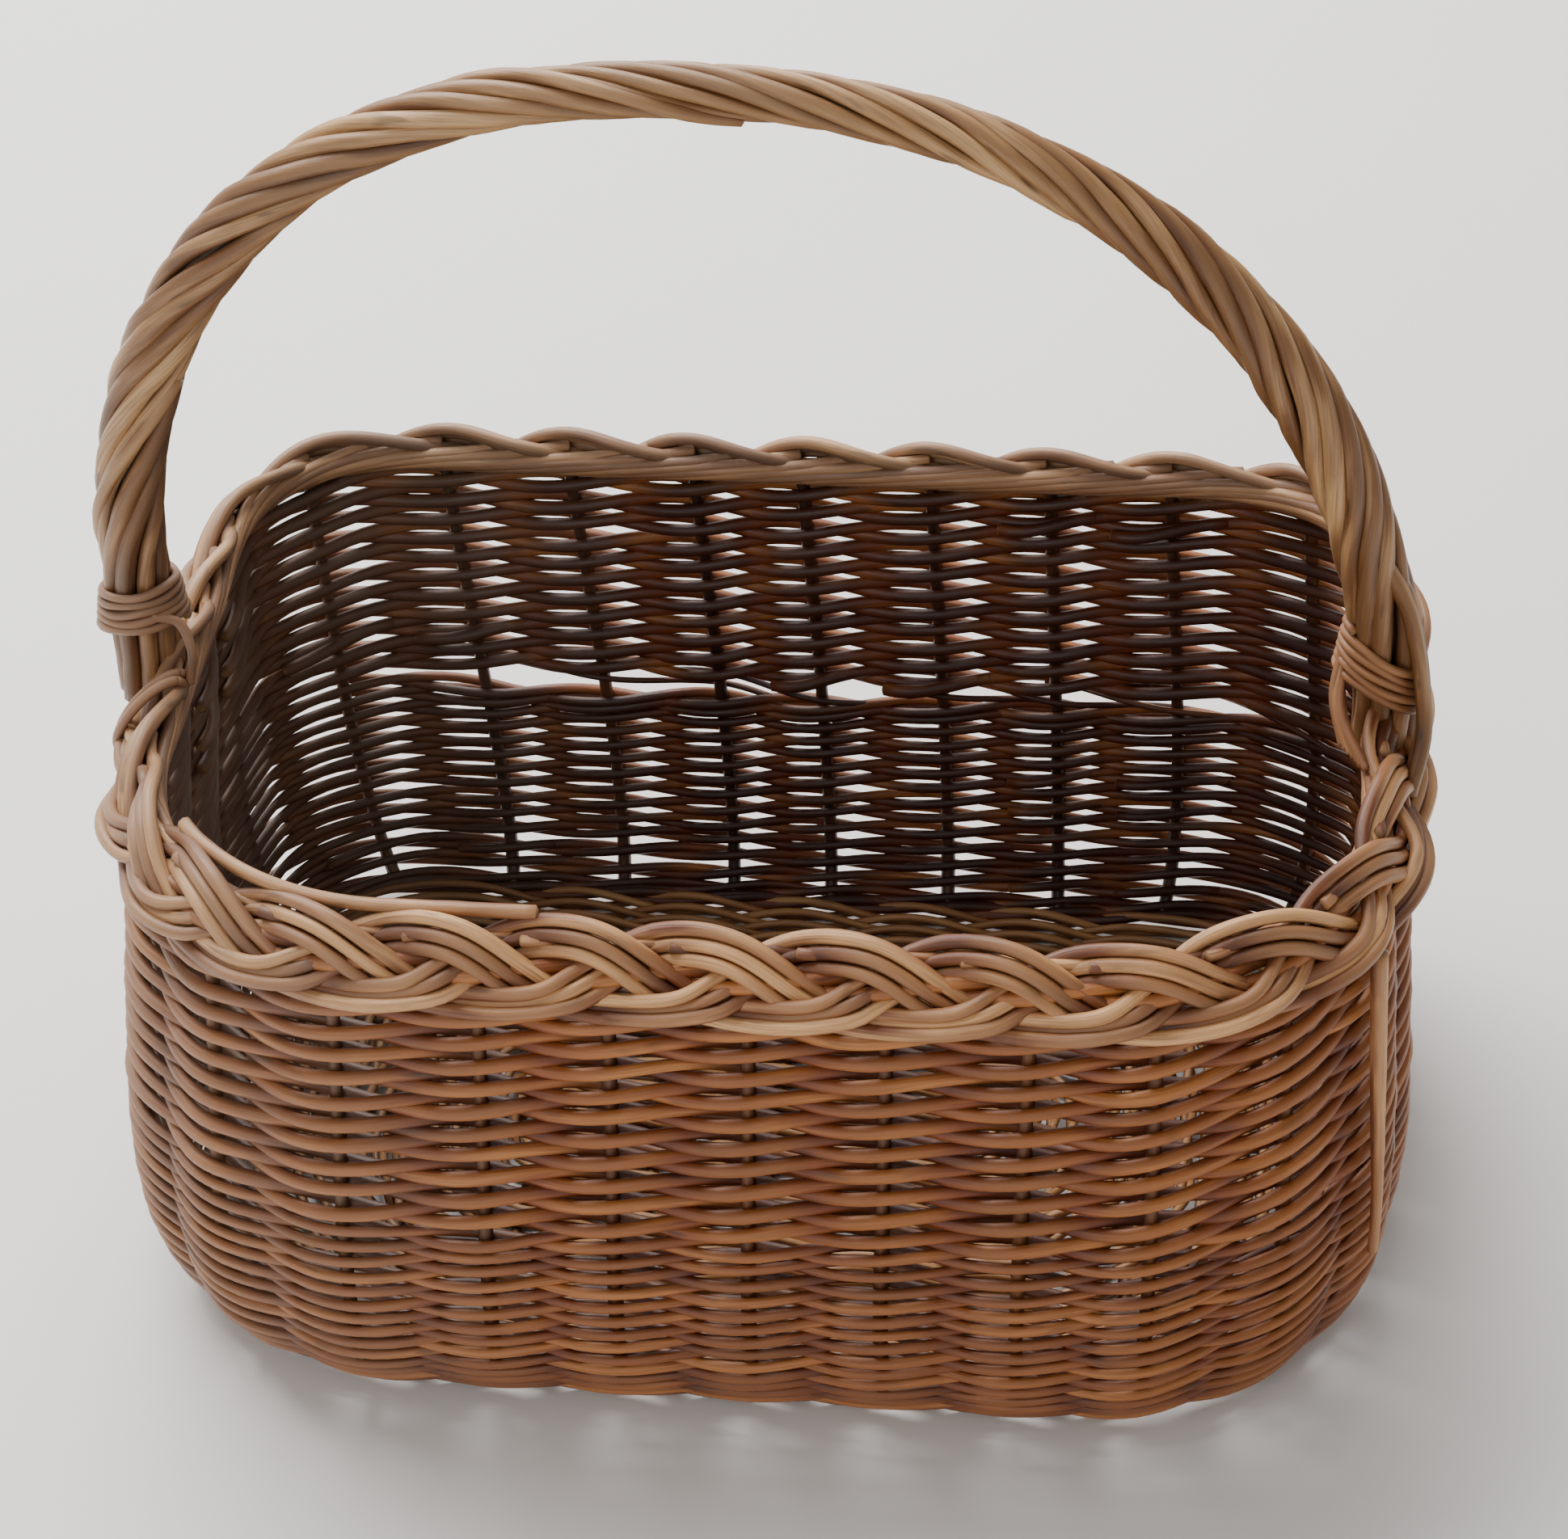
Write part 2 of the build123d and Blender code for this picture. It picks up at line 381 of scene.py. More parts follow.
def willow_colour(tree, grain, parts, streak, blotch, tones, painted_shade_reach):
    """A rod's own tone, with streaks, leaf scars, painted shade in its hollows, and a crown painted
    lighter as highlight and wear.
    """
    dark, mid, light, scar_and_shade = tones
    mottle = spread(tree, blotch, 0.3, 0.7, -0.38, 0.38)
    shade = add(tree, "ShaderNodeMath", {"operation": "ADD"}, _0=parts[0], _1=mottle)
    ramp = add(tree, "ShaderNodeValToRGB", {}, _0=shade.outputs[0])
    ramp.color_ramp.elements[0].color = dark
    ramp.color_ramp.elements[1].color = light
    middle = ramp.color_ramp.elements.new(0.5)
    middle.color = mid
    streaked = blend_colours(tree, spread(tree, streak, 0.42, 0.68, 0.0, 0.55), ramp.outputs[0], dark)
    scar = noise(tree, grain, SCARS, 1.0)
    scarred = blend_colours(tree, spread(tree, scar, 0.66, 0.74, 0.0, 0.6), streaked, scar_and_shade)
    # Painted shade: the lower the painted light level, the more the dark scar-and-shade tone covers the
    # rod.
    painted_shade = spread(tree, parts[1], 0.0, painted_shade_reach, 0.9, 0.0)
    with_painted_shade = blend_colours(tree, painted_shade, scarred, scar_and_shade)
    # Painted highlight and wear: the highest painted light levels are lightened towards the light tone.
    light_and_wear = spread(tree, parts[1], 0.62, 1.0, 0.0, 0.4)
    return blend_colours(tree, light_and_wear, with_painted_shade, light)


def painted_side_light(tree, colour, left_painted_light, back_painted_light):
    """Painted light: greyer, paler colour towards the basket's left end and, where asked, along its
    back.
    """
    place = add(tree, "ShaderNodeTexCoord").outputs["Object"]
    end, back = add(tree, "ShaderNodeSeparateXYZ", {}, _0=place).outputs[:2]
    if back_painted_light:
        colour = blend_colours(tree, spread(tree, back, 0.07, 0.13, 0.0, back_painted_light), colour, PAINTED_LIGHT_GREY)
    return blend_colours(tree, spread(tree, end, -0.2, -0.06, left_painted_light, 0.0), colour, PAINTED_LIGHT_GREY)


def willow_relief(tree, grain, streak, blotch):
    """Shallow bumps from the fibres, streaks and blotches."""
    fibre = noise(tree, grain, FIBRES, 2.0)
    height = add(tree, "ShaderNodeMath", {"operation": "ADD"}, _0=streak, _1=fibre).outputs[0]
    deeper = add(tree, "ShaderNodeMath", {"operation": "ADD"}, _0=height, _1=blotch).outputs[0]
    return add(tree, "ShaderNodeBump", {}, Strength=0.35, Distance=0.0004, Height=deeper).outputs[0]


def willow(name, dark, mid, light, scar_and_shade, painted_shade_reach, left_painted_light=0.42, gloss=0.46, back_painted_light=0.0):
    """Willow rod material in four tones, the fourth for leaf scars and painted shade, with painted light
    greying the left end, pale cut ends and a faint natural sheen.
    """
    material = bpy.data.materials.new(name)
    material.use_nodes = True
    tree = material.node_tree
    shader = tree.nodes["Principled BSDF"]
    grain = add(tree, "ShaderNodeAttribute", {"attribute_name": "grain"}).outputs["Vector"]
    look = add(tree, "ShaderNodeAttribute", {"attribute_name": "look"}).outputs["Vector"]
    parts = add(tree, "ShaderNodeSeparateXYZ", {}, _0=look).outputs
    streak = noise(tree, grain, STREAKS, 4.0, 0.6)
    blotch = noise(tree, grain, BLOTCHES, 2.0)
    tones = (dark, mid, light, scar_and_shade)
    colour = willow_colour(tree, grain, parts, streak, blotch, tones, painted_shade_reach)
    colour = painted_side_light(tree, colour, left_painted_light, back_painted_light)
    tree.links.new(blend_colours(tree, parts[2], colour, PITH), shader.inputs["Base Color"])
    rough = spread(tree, streak, 0.35, 0.7, gloss - 0.07, gloss + 0.14)
    tree.links.new(rough, shader.inputs["Roughness"])
    tree.links.new(willow_relief(tree, grain, streak, blotch), shader.inputs["Normal"])
    shader.inputs["Coat Weight"].default_value = 0.12
    shader.inputs["Coat Roughness"].default_value = 0.35
    return material


# For each material the fourth tone is for leaf scars and painted shade, and the number after it is how
# far up the painted light level that painted shade reaches.
SIDING = willow("willow_siding", rgb(80, 34, 15), rgb(128, 64, 26), rgb(192, 124, 64),
                rgb(48, 20, 12), 0.56)
FINE = willow("willow_fine_weave", rgb(76, 33, 16), rgb(118, 59, 27), rgb(180, 114, 60),
              rgb(44, 19, 12), 0.56)
BASE = willow("willow_base", rgb(102, 60, 32), rgb(144, 92, 52), rgb(188, 142, 92),
              rgb(46, 26, 16), 0.3)
STAKES = willow("willow_stakes", rgb(52, 28, 17), rgb(82, 47, 27), rgb(124, 80, 48),
                rgb(26, 14, 9), 0.4)
BORDER = willow("willow_border", rgb(80, 41, 23), rgb(131, 78, 45), rgb(222, 167, 112),
                rgb(36, 19, 12), 0.46, back_painted_light=0.45)
HANDLE = willow("willow_handle", rgb(80, 48, 26), rgb(130, 87, 51), rgb(208, 164, 114),
                rgb(34, 19, 11), 0.45, left_painted_light=0.1, gloss=0.4)
LASHING = willow("willow_lashing", rgb(98, 56, 34), rgb(134, 84, 52), rgb(184, 134, 90),
                 rgb(44, 24, 16), 0.4)


def rod_tint(middle=0.5):
    """A rod's own shade: mostly near the middle, now and then a paler straw rod."""
    if RNG.random() < 0.1:
        return float(np.clip(middle + RNG.uniform(0.3, 0.45), 0, 1))
    return float(np.clip(RNG.normal(middle, TINT_SPREAD), 0.05, 0.95))


def loose_join(place):
    """How far the fine band sags from the coarse one, 0 to 1: a few long gaps, mostly at the back."""
    facing = np.sin(2 * math.pi * place / STAKE_COUNT)
    wave = JOIN_WAVE(place) / MM
    return np.clip(0.1 * wave + 0.85 * smooth(facing, 0.5, 0.95), 0, 1)


def join_rods():
    """Thin rods that slant across the loose join at the back."""
    rods = []
    for begin in (9.6, 8.4, 6.6, 5.9, 5.1, 4.4):
        place = np.linspace(begin, begin - 2.1, 30)
        height = np.linspace(COARSE_BOTTOM + 0.5 * MM, FINE_TOP - 4 * MM, 30)
        height = height + RNG.uniform(-1.5, 1.5) * MM
        swing = (STAKE_RADIUS + 1.1 * MM) * np.cos(math.pi * (place + round(begin)))
        path, facing = wall(place, height, swing)
        rods.append(rod(path, JOIN_ROD_RADIUS, facing, rod_tint(0.4), 0.35, 6))
    piece("weave_join_rods", rods, FINE, ["weave_lower_band"])


def twined_row(name, height, radius, pitch, material, node, slack):
    """A pair of rods twisted round each other, one passing each side of every stake."""
    rods = []
    wander = ripple(np.linspace(0, STAKE_COUNT, 8))[0] * 0.2 * MM
    first = 2 * int(RNG.integers(0, STAKE_COUNT // 2)) + 1
    phases = RNG.uniform(0, 2 * math.pi, 3)
    for turn in (0, 1):
        begin = first - turn
        place = np.linspace(begin - 0.4, begin + STAKE_COUNT + 0.45, int(STAKE_COUNT * STEPS_PER_STAKE))
        angle = math.pi * (place + turn)
        tight = 0.42 + 0.4 * smooth(height, 3 * MM, 40 * MM) - 0.14 * smooth(height, 80 * MM, 110 * MM)
        swing = (STAKE_RADIUS + radius) * tight * np.cos(angle) * (1 + 0.08 * ripple(place))
        tail = smooth(place, begin + STAKE_COUNT - 0.3, begin + STAKE_COUNT + 0.35)
        swing = swing - tail * radius * 2.1
        round_turn = 2 * math.pi * place / STAKE_COUNT
        level = sum(np.cos(h * round_turn + p) for h, p in zip((2, 5, 11), phases))
        lift = pitch / 4 * np.sin(angle) + level * 0.3 * MM + wander + ripple(place) * 0.16 * MM
        lift = lift + slack * loose_join(place)
        path, facing = wall(place, height, swing, lift)
        thick = radius * (1 + 0.07 * ripple(place))
        # Painted light: strokes that pass outside the stakes are painted lighter, and those that pass
        # inside are painted darker as shade.
        light_and_wear = 0.5 + 0.42 * np.cos(angle)
        rods.append(rod(path, thick, facing, rod_tint(), light_and_wear, side_shading=0.2))
    piece(name, rods, material, [node])


def fine_heights():
    """Heights of the fine rows, evenly spaced along the wall as it turns under."""
    levels = np.linspace(FINE_TOP, WALL_FOOT, 600)
    offset, _ = profile(levels)
    steps = np.hypot(np.diff(levels), np.diff(offset))
    run = np.concatenate([[0], np.cumsum(steps)])
    return np.interp(np.arange(FINE_ROWS) * FINE_PITCH, run, levels)


def weave():
    """Every row of the wall, the coarse band above the fine one."""
    for row in range(COARSE_ROWS):
        height = COARSE_BOTTOM + row * COARSE_PITCH
        slack = JOIN_GAP * 0.35 * JOIN_FADE ** row
        twined_row(f"upper_row_{row + 1:02d}", height, COARSE_RADIUS, COARSE_PITCH, SIDING,
                   "weave_upper_band", slack)
    for row, height in enumerate(fine_heights()):
        slack = -JOIN_GAP * JOIN_FADE ** row
        twined_row(f"lower_row_{row + 1:02d}", height, FINE_RADIUS, FINE_PITCH, FINE,
                   "weave_lower_band", slack)


def stakes():
    """The upright rods, which curve in with the wall towards the base."""
    for number in range(STAKE_COUNT):
        height = np.concatenate([np.linspace(WALL_FOOT + 0.5 * MM, 30 * MM, 14)[:-1],
                                 np.linspace(30 * MM, STAKE_TOP + 4 * MM, 16)])
        path, facing = wall(np.full(height.shape, float(number)), height)
        radius = STAKE_RADIUS * np.linspace(1.08, 0.94, len(height))
        name = f"stake_{number + 1:02d}"
        shape = rod(path, radius, facing, rod_tint(0.4), 0.55, side_shading=0.4)
        piece(name, [shape], STAKES, [name])


def base_sticks():
    """Two crossed layers of straight sticks under the base weave."""
    for kind, count, axis in STICK_LAYERS:
        for number in range(1, count + 1):
            name = f"base_stick_{kind}_{number}"
            low, high = (np.array(corner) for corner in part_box(name))
            middle = (low + high) / 2
            middle[2] += STICK_LIFT
            share = np.linspace(-0.5, 0.5, 24)
            path = np.repeat(middle[None, :], len(share), axis=0)
            path[:, axis] += share * ((high - low)[axis] + 2 * END_FULLNESS * (axis == 0))
            path[:, 0] -= BASE_SHIFT
            path[:, 1 - axis] += np.sin(share * 7 + number) * 0.8 * MM
            thick = STICK_RADIUS * (1.06 - 0.12 * (share + 0.5))
            face = np.array([0, 0, 1.0])
            piece(name, [rod(path, thick, face, rod_tint(0.45), 0.6)], STAKES, [name])


def stick_crossings(half_length, half_width, radius):
    """Distances round a base ring at which it meets the sticks, and the height of each stick."""
    found = []
    quarter = half_length + half_width - 2 * radius + radius * math.pi / 2
    samples = np.linspace(0, 4 * quarter, 2401)[:-1]
    spots, _ = rounded_loop(samples, half_length, half_width, radius)
    for kind, count, axis in STICK_LAYERS:
        for number in range(1, count + 1):
            low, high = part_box(f"base_stick_{kind}_{number}")
            side = spots[:, 1 - axis] - (low[1 - axis] + high[1 - axis]) / 2
            for index in np.nonzero(np.sign(side) != np.sign(np.roll(side, -1)))[0]:
                found.append((samples[index], (low.z + high.z) / 2 + STICK_LIFT))
    return sorted(found), samples


def base_ring(number, half_length, half_width, radius):
    """A pair of thin rods woven round the sticks in one closed ring."""
    crossings, samples = stick_crossings(half_length, half_width, radius)
    total = samples[-1] + samples[1]
    at = np.array([c[0] for c in crossings])
    level = np.array([c[1] for c in crossings])
    at = np.concatenate([[at[-1] - total], at, [at[0] + total]])
    level = np.concatenate([[level[-1]], level, [level[0]]])
    place = samples[::5]
    count = np.interp(place, at, np.arange(-1, len(at) - 1))
    rods = []
    for turn in (0, 1):
        spots, outward = rounded_loop(place, half_length, half_width, radius)
        swing = (STICK_RADIUS + BASE_WEAVER_RADIUS) * np.cos(math.pi * (count + turn))
        beside = BASE_WEAVER_RADIUS * np.sin(math.pi * (count + turn))
        path = spots + outward * beside[:, None]
        path[:, 0] -= BASE_SHIFT
        path[:, 2] = np.maximum(np.interp(place, at, level) + swing, BASE_WEAVER_RADIUS * 1.1)
        path = np.vstack([path, path[:1]])
        # Painted light: weavers are painted lighter where they pass over a stick and darker, as shade,
        # where they pass under it.
        light_and_wear = 0.6 + 0.3 * np.cos(math.pi * (np.append(count, count[0]) + turn))
        rods.append(rod(path, BASE_WEAVER_RADIUS, np.array([0, 0, 1.0]), rod_tint(0.45), light_and_wear, 6))
    piece(f"base_ring_{number:02d}", rods, BASE, ["weave_base"])


def base():
    """Rings from the foot of the wall to the middle of the base."""
    offset, _ = profile(np.array(WALL_FOOT))
    half_length = RIM_HALF_LENGTH + float(offset) + FOOT_FULLNESS_SHARE * END_FULLNESS - BASE_INSET
    half_width = RIM_HALF_WIDTH + float(offset) - BASE_INSET
    corner = RIM_CORNER_RADIUS + float(offset)
    rings = round(half_width / BASE_RING_PITCH)
    for ring in range(rings + 1):
        inward = ring * (half_width - BASE_LAST_RING) / rings
        radius = max(corner - inward, 2 * MM)
        radius = min(max(radius, (half_width - inward) * 0.75), half_width - inward - 0.2 * MM)
        base_ring(ring + 1, half_length - inward, half_width - inward, radius)


def plait_point(place, across, lift):
    """A point on the border's slanted face, its crest at across 1 and its outer edge at -1."""
    middle = [(a + b) / 2 for a, b in zip(PLAIT_CREST, PLAIT_EDGE)]
    half = [(a - b) / 2 for a, b in zip(PLAIT_CREST, PLAIT_EDGE)]
    size = math.hypot(*half)
    spots, outward = rounded_loop(
        STAKE_PITCH * place, RIM_HALF_LENGTH, RIM_HALF_WIDTH, RIM_CORNER_RADIUS
    )
    out = middle[0] + half[0] * across + half[1] / size * lift
    up = RIM_HEIGHT + middle[1] + half[1] * across - half[0] / size * lift
    points = spots + outward * out[:, None]
    points[:, 2] = up
    face = outward * (half[1] / size)
    face[:, 2] = -half[0] / size
    return points, face


def border():
    """Three strands of three rods, plaited all the way round."""
    place = np.linspace(0, STAKE_COUNT + 0.2, STAKE_COUNT * PLAIT_STEPS)
    half_face = math.dist(PLAIT_CREST, PLAIT_EDGE) / 2
    swing = half_face - 3 * PLAIT_ROD_RADIUS
    for strand, name in enumerate(("inner", "middle", "outer")):
        turn = 2 * math.pi * place / PLAIT_PERIOD + strand * 2 * math.pi / 3
        wave = 1.25 * np.sin(turn) - 0.25 * np.sin(turn) ** 3
        middle = swing * (wave - PLAIT_SKEW * (1 - wave * wave)) + 0.6 * MM * ripple(place)
        heading = unit(np.stack([np.gradient(STAKE_PITCH * place), np.gradient(middle)], -1))
        low = smooth(-wave, 0.1, 0.9)
        rods = []
        for member in (-1, 0, 1):
            aside = member * 2.06 * PLAIT_ROD_RADIUS * (1 + 0.06 * ripple(place) - 0.38 * low)
            at = place - aside * heading[:, 1] / STAKE_PITCH
            across = (middle + aside * heading[:, 0]) / half_face
            lift = -3.0 * MM * np.sin(2 * turn) - abs(member) * 0.5 * MM + 0.4 * MM * ripple(place)
            lift = lift - (1 - abs(member)) * 2.2 * MM * low
            path, face = plait_point(at, across, lift)
            thick = PLAIT_ROD_RADIUS * (1 + 0.07 * ripple(place))
            # Painted shade: where a strand dips under the others it is painted darker, and where it
            # rises over them it is painted lighter.
            light_and_wear = np.clip(0.54 - 0.24 * np.sin(2 * turn), 0.1, 1)
            rods.append(rod(path, thick, face, rod_tint(), light_and_wear, side_shading=0.18))
        piece(f"border_strand_{name}", rods, BORDER, [f"border_strand_{name}"])


def border_turns():
    """The stakes' tips, laid along the inside of the border before they join the plait."""
    rods = []
    share = np.linspace(0, 1, 24)
    for number in range(STAKE_COUNT):
        for member in (0, 1):
            place = number + 0.5 + 0.42 * member - 2.5 * share + RNG.uniform(-0.08, 0.08)
            height = RIM_HEIGHT - (16 - 8 * share ** 1.1) * MM
            inside = (5.2 + 2.6 * np.sin(math.pi * share ** 0.8) - 2.6 * smooth(share, 0.8, 1)) * MM
            path, facing = wall(place, height, -inside)
            radius = 2.15 * MM * (1.05 - 0.15 * share)
            rods.append(rod(path, radius, -facing, rod_tint(), 0.6, side_shading=0.2))
    piece("border_inner_turns", rods, BORDER, ["border_strand_inner"])


def border_end():
    """A long rod end left lying along the border's inner crest at the front left."""
    place = np.linspace(16.4, 19.6, 40)
    path, face = plait_point(place, np.full(40, 1.02), -2.5 * MM + 1.5 * MM * smooth(place, 18.6, 19.6))
    shape = rod(path, 2.2 * MM, face, 0.6, 0.6)
    piece("border_rod_end", [shape], BORDER, ["border_strand_inner"])


def bow_line():
    """The handle's centre line, evenly spaced from the left foot to the right one, and its run."""
    angle = np.linspace(0, math.pi, 721)
    power = 2 / BOW_SQUARENESS
    rise = BOW_RISE * np.sin(angle) ** power
    across = -np.sign(np.cos(angle)) * np.abs(np.cos(angle)) ** power
    x = BOW_SHIFT + BOW_LEAN * rise + BOW_HALF_SPAN * across
    line = np.stack([x, np.zeros_like(x), BOW_FOOT + rise], -1)
    tail = np.array([0, 0, BOW_TAIL])
    line = np.vstack([line[0] - tail, line, line[-1] - tail])
    run = np.concatenate([[0], np.cumsum(np.linalg.norm(np.diff(line, axis=0), axis=1))])
    even = np.linspace(0, run[-1], BOW_STEPS)
    return np.stack([np.interp(even, run, line[:, i]) for i in range(3)], -1), even


def handle():
    """A core rod with eight rods laid round it like a rope."""
    line, run = bow_line()
    tangent = unit(np.gradient(line, axis=0))
    across = np.repeat([[0.0, 1.0, 0.0]], len(line), axis=0)
    outward = np.cross(tangent, across)
    from_foot = np.minimum(run, run[-1] - run)
    slender = smooth(from_foot, 120 * MM, 320 * MM)
    reach = (7.7 - 2.0 * slender) * MM
    thick = (3.1 - 0.75 * slender) * MM
    rate = BOW_TWIST * (0.25 + 0.75 * smooth(from_foot, 20 * MM, 90 * MM))
    twist = np.concatenate([[0], np.cumsum(np.diff(run) * rate[1:])])
    # Painted shade: the core sits at the lowest level, so it is painted dark all over.
    core = rod(line, reach * 0.75, outward, 0.3, 0.0)
    piece("handle_rod_core", [core], HANDLE, ["handle_rod_core"])
    for number in range(BOW_RODS):
        wander = 0.09 * ripple(run * 60) + RNG.uniform(-0.1, 0.1)
        angle = 2 * math.pi * number / BOW_RODS + twist + wander
        out = np.cos(angle)[:, None] * outward + np.sin(angle)[:, None] * across
        own = RNG.uniform(0.9, 1.16)
        path = line + out * (reach * (1 + 0.04 * ripple(run * 45)))[:, None]
        # Painted shade: the rods are painted darker towards the feet and on the sides that face into the
        # bundle.
        shape = rod(path, thick * own, out, rod_tint(), 0.3 + 0.24 * slender, 10, 0.45)
        node = f"handle_rod_{number + 1}" if number < BOW_NODES else "handle_rod_core"
        piece(f"handle_rod_{number + 1}", [shape], HANDLE, [node])


def handle_ends():
    """Two short rods laid into the handle, which end in cuts: one on the left arm, one under the top."""
    line, run = bow_line()
    tangent = unit(np.gradient(line, axis=0))
    across = np.repeat([[0.0, 1.0, 0.0]], len(line), axis=0)
    outward = np.cross(tangent, across)
    for number, (start, end, reach) in enumerate(((20, 128, 9.6), (225, 350, 7.4))):
        inside = (run > start * MM) & (run < end * MM)
        part = run[inside]
        angle = (part - part[-1]) * BOW_TWIST + math.pi + 0.4
        out = np.cos(angle)[:, None] * outward[inside] + np.sin(angle)[:, None] * across[inside]
        path = line[inside] + out * reach * MM
        path[:6] -= out[:6] * np.linspace(3, 0, 6)[:, None] * MM
        shape = rod(path, 2.3 * MM, out, rod_tint(0.6), 0.6, 10, 0.4)
        piece(f"handle_rod_end_{number + 1}", [shape], HANDLE, ["handle_rod_core"])


def bend(corners, count=36):
    """A smooth line through a few points."""
    before = 2 * corners[0] - corners[1]
    after = 2 * corners[-1] - corners[-2]
    knots = np.array([before, *corners, after])
    line = []
    for step in np.linspace(0, len(corners) - 1.0001, count):
        index, share = int(step), step % 1
        a, b, c, d = knots[index:index + 4]
        line.append(0.5 * (2 * b + (c - a) * share + (2 * a - 5 * b + 4 * c - d) * share ** 2
                           + (3 * b - a - 3 * c + d) * share ** 3))
    return np.array(line)


def coil(middle, turns, radius, flare, rise, tilt_x, tilt_y):
    """A thin rod wound round an upright line, tilted, and wider towards its foot."""
    angle = np.linspace(0, 2 * math.pi * turns, int(36 * turns))
    out = np.stack([np.cos(angle), np.sin(angle), np.zeros_like(angle)], -1)
    share = angle / angle[-1]
    path = middle + out * (radius + flare * (1 - share))[:, None]
    path[:, 2] += (share - 0.5) * rise + tilt_x * out[:, 0] + tilt_y * out[:, 1]
    path[:, 2] += 0.35 * MM * np.sin(3.3 * angle)
    return rod(path, 1.5 * MM * (1 + 0.06 * np.sin(angle * 2.3)), out, rod_tint(0.4), 0.55, side_shading=0.45)


def border_wrap(foot, aside, slant):
    """A thin rod looped round the border beside one foot of the handle."""
    angle = np.linspace(0, 2 * math.pi, 48)
    place = foot + (aside + slant * np.sin(angle)) / STAKE_PITCH
    path, _ = plait_point(place, 1.02 * np.cos(angle), 6.2 * MM * np.sin(angle))
    face = unit(path - path[:-1].mean(axis=0))
    return rod(path, 1.6 * MM, face, rod_tint(0.5), 0.6, side_shading=0.4)


def left_lashing(foot):
    """A level coil above the border, its hooked end, and two turns round the border beside it."""
    rods = [coil(foot + [0, 0, 6 * MM], 5.2, 11.6 * MM, 2.2 * MM, 15 * MM, 1.5 * MM, -2 * MM)]
    hook_points = ((6, -11, 7), (14, -10, 4), (18, -14, -4), (17, -17, -14))
    hook = bend([foot + np.array(p) * MM for p in hook_points])
    rods.append(rod(hook, 1.6 * MM, np.array([1.0, -0.3, 0.3]), 0.45, 0.6))
    return rods + [border_wrap(STAKE_COUNT / 2, aside * MM, 5 * MM) for aside in (17, 21)]


def right_lashing(foot):
    """A slanted coil whose turns fan out, and a skirt of rods drawn down inside the border."""
    rods = [coil(foot + [0, 0, 0], 5.6, 11.6 * MM, 2.6 * MM, 17 * MM, -8 * MM, -3 * MM)]
    for turn in range(7):
        points = ((-12.5, -3 - 1.4 * turn, 7 - 1.8 * turn),
                  (-14.5 + 0.7 * turn, -12 - 1.3 * turn, -4 - turn),
                  (-11 + 1.2 * turn, -22 - 1.4 * turn, -15 - 0.4 * turn))
        skirt = bend([foot + np.array(p) * MM for p in points])
        rods.append(rod(skirt, 1.5 * MM, np.array([-0.8, -0.8, 0.4]), rod_tint(0.45), 0.6))
    return rods


def lashings():
    """Both feet of the handle are bound to the border with thin rods."""
    for name, bind in (("handle_lashing_left", left_lashing), ("handle_lashing_right", right_lashing)):
        low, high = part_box(name)
        foot = (np.array(low) + np.array(high)) / 2
        foot[0] *= 1.012
        piece(name, bind(foot), LASHING, [name])


def outer_foot():
    """Two handle rods that pass outside the border at the right foot."""
    low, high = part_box("handle_lashing_right")
    foot = (np.array(low) + np.array(high)) / 2
    for number, aside in enumerate((0, -5)):
        points = ((0, 0, 42), (8, -3, 28), (12, -6, 14), (14.5, -9, 0), (15.5, -15, -13), (12, -26, -26))
        path = bend([foot + np.array(p) * MM + np.array([0, aside, 0]) * MM for p in points])
        thick = np.linspace(3.0, 2.3, len(path)) * MM
        shape = rod(path, thick, np.array([1.0, -0.5, 0.2]), rod_tint(0.4), 0.5, 10)
        piece(f"handle_outer_foot_{number + 1}", [shape], HANDLE, ["handle_rod_core"])


def loose_end():
    """One pale rod end that lies outside the weave by the front right corner."""
    name = "loose_rod_end"
    low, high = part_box(name)
    height = np.linspace(low.z, high.z, 20)
    place = STAKE_COUNT - (SIDE_RUN + 0.33 * CORNER_RUN) / STAKE_PITCH - FRONT_SHIFT / STAKE_PITCH * 0.8
    path, facing = wall(np.full(height.shape, place), height, 9.2 * MM)
    thick = np.linspace(1.7, 3.0, len(height)) * MM
    piece(name, [rod(path, thick, facing, 0.7, 0.7, 10)], BORDER, [name])


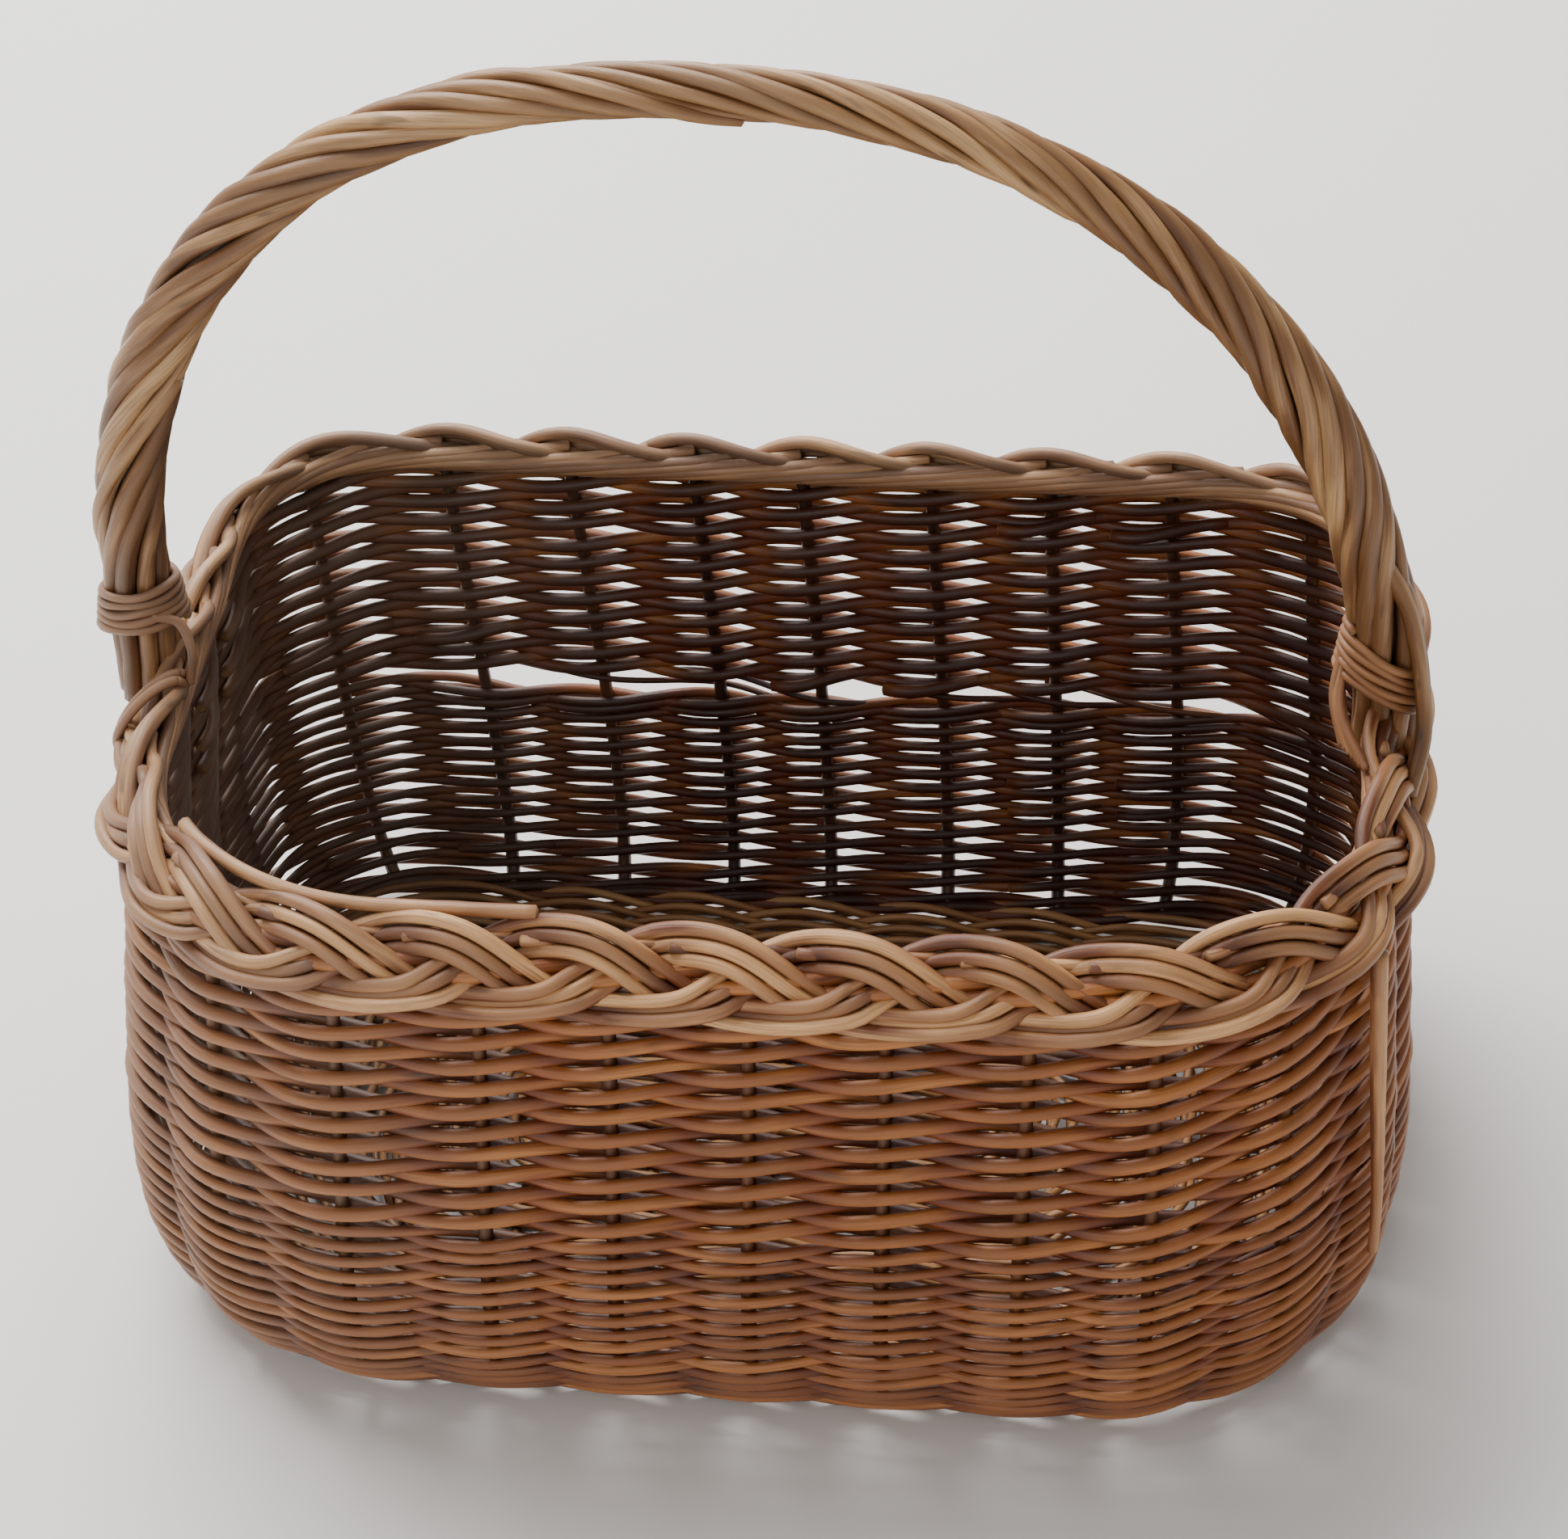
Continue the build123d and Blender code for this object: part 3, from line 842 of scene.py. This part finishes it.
def floor():
    """A plain pale floor, which isn't part of the basket."""
    mesh = bpy.data.meshes.new("floor")
    reach = 6.0
    corners = [(-reach, -reach, 0), (reach, -reach, 0), (reach, reach, 0), (-reach, reach, 0)]
    mesh.from_pydata(corners, [], [(0, 1, 2, 3)])
    made = bpy.data.objects.new("floor", mesh)
    bpy.context.scene.collection.objects.link(made)
    material = bpy.data.materials.new("floor")
    material.use_nodes = True
    tree = material.node_tree
    shader = tree.nodes["Principled BSDF"]
    place = add(tree, "ShaderNodeTexCoord").outputs["Object"]
    mottle = noise(tree, place, (3, 3, 3))
    colour = blend_colours(tree, mottle, rgb(240, 237, 234), rgb(247, 245, 242))
    tree.links.new(colour, shader.inputs["Base Color"])
    shader.inputs["Roughness"].default_value = 0.7
    mesh.materials.append(material)


def area_light(name, place, size, power):
    """A soft square lamp aimed at the middle of the basket."""
    data = bpy.data.lights.new(name, "AREA")
    data.shape = "SQUARE"
    data.size = size
    data.energy = power
    lamp = bpy.data.objects.new(name, data)
    lamp.location = place
    aim = Vector((0, 0, 0.12)) - Vector(place)
    lamp.rotation_euler = aim.to_track_quat("-Z", "Y").to_euler()
    bpy.context.scene.collection.objects.link(lamp)


def lights():
    """Soft light from above and behind, with a weaker one in front."""
    world = bpy.data.worlds.new("studio")
    world.use_nodes = True
    world.node_tree.nodes["Background"].inputs[0].default_value = (1, 0.98, 0.96, 1)
    world.node_tree.nodes["Background"].inputs[1].default_value = 0.4
    bpy.context.scene.world = world
    area_light("back_light", (-0.8, 1.2, 2.0), 2.2, 134)
    area_light("front_light", (-0.7, -1.9, 1.4), 1.4, 14)


def camera():
    """A long lens above and in front of the basket, looking down."""
    pitch = math.radians(37.63)
    turn = math.radians(-6.65)
    roll = math.radians(-1.54)
    target = Vector((-3.75, 53.44, 120)) * MM
    away = 1.446
    level = math.cos(pitch)
    forward = Vector((math.sin(turn) * level, math.cos(turn) * level, -math.sin(pitch)))
    right = Vector((math.cos(turn), -math.sin(turn), 0))
    up = right.cross(forward)
    across = right * math.cos(roll) + up * math.sin(roll)
    above = up * math.cos(roll) - right * math.sin(roll)
    data = bpy.data.cameras.new("camera")
    data.lens = 99.3
    made = bpy.data.objects.new("camera", data)
    made.matrix_world = Matrix.Translation(target - forward * away) @ Matrix(
        (across, above, -forward)).transposed().to_4x4()
    bpy.context.scene.collection.objects.link(made)
    bpy.context.scene.camera = made


weave()
join_rods()
stakes()
base_sticks()
base()
border()
border_turns()
border_end()
handle()
handle_ends()
outer_foot()
lashings()
loose_end()
floor()
lights()
camera()
bpy.context.view_layer.update()
